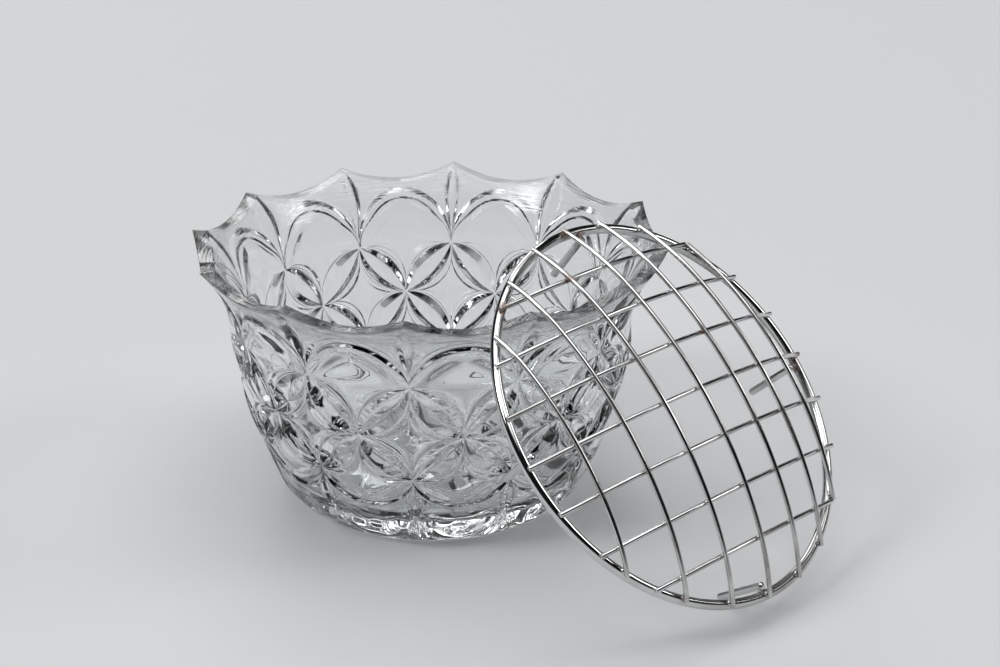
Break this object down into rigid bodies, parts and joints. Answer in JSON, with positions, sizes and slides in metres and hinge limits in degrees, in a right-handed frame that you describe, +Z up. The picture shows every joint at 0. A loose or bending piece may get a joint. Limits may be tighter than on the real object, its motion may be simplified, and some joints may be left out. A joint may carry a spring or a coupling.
{
  "type": "rose bowl",
  "caption": "Round pressed-glass rose bowl with a scalloped flared rim and a scooped petal pattern, and a domed wire flower grid that lifts off, leaning on the rim.",
  "frame": {"origin": "centre of the bowl's flat foot, at table height", "axes": "+Z up along the bowl's axis, +X through one point of the rim; the grid leans on the rim between +X and -Y"},
  "size_m": [0.2206, 0.2033, 0.1083],
  "materials": {
    "crystal": "clear pressed and fire-polished",
    "plated_ring": "bright plated rod, lightly worn",
    "plated_wire": "bright plated wire, lightly worn",
    "plated_peg": "bright plated rod, cut ends"
  },
  "bodies": {
    "bowl": {"glass_bowl": "crystal"},
    "grid": {"grid_ring": "plated_ring", "upper_wire_1": "plated_wire", "lower_wire_1": "plated_wire", "upper_wire_2": "plated_wire", "lower_wire_2": "plated_wire", "upper_wire_3": "plated_wire", "lower_wire_3": "plated_wire", "upper_wire_4": "plated_wire", "lower_wire_4": "plated_wire", "upper_wire_5": "plated_wire", "lower_wire_5": "plated_wire", "upper_wire_6": "plated_wire", "lower_wire_6": "plated_wire", "upper_wire_7": "plated_wire", "lower_wire_7": "plated_wire", "peg_1": "plated_peg", "peg_2": "plated_peg", "peg_3": "plated_peg", "peg_4": "plated_peg"}
  },
  "joints": [
    {"name": "grid_lift", "type": "slide", "parent": "bowl", "child": "grid", "axis": [0, 0, 1], "range_m": [0, 0.15]}
  ]
}
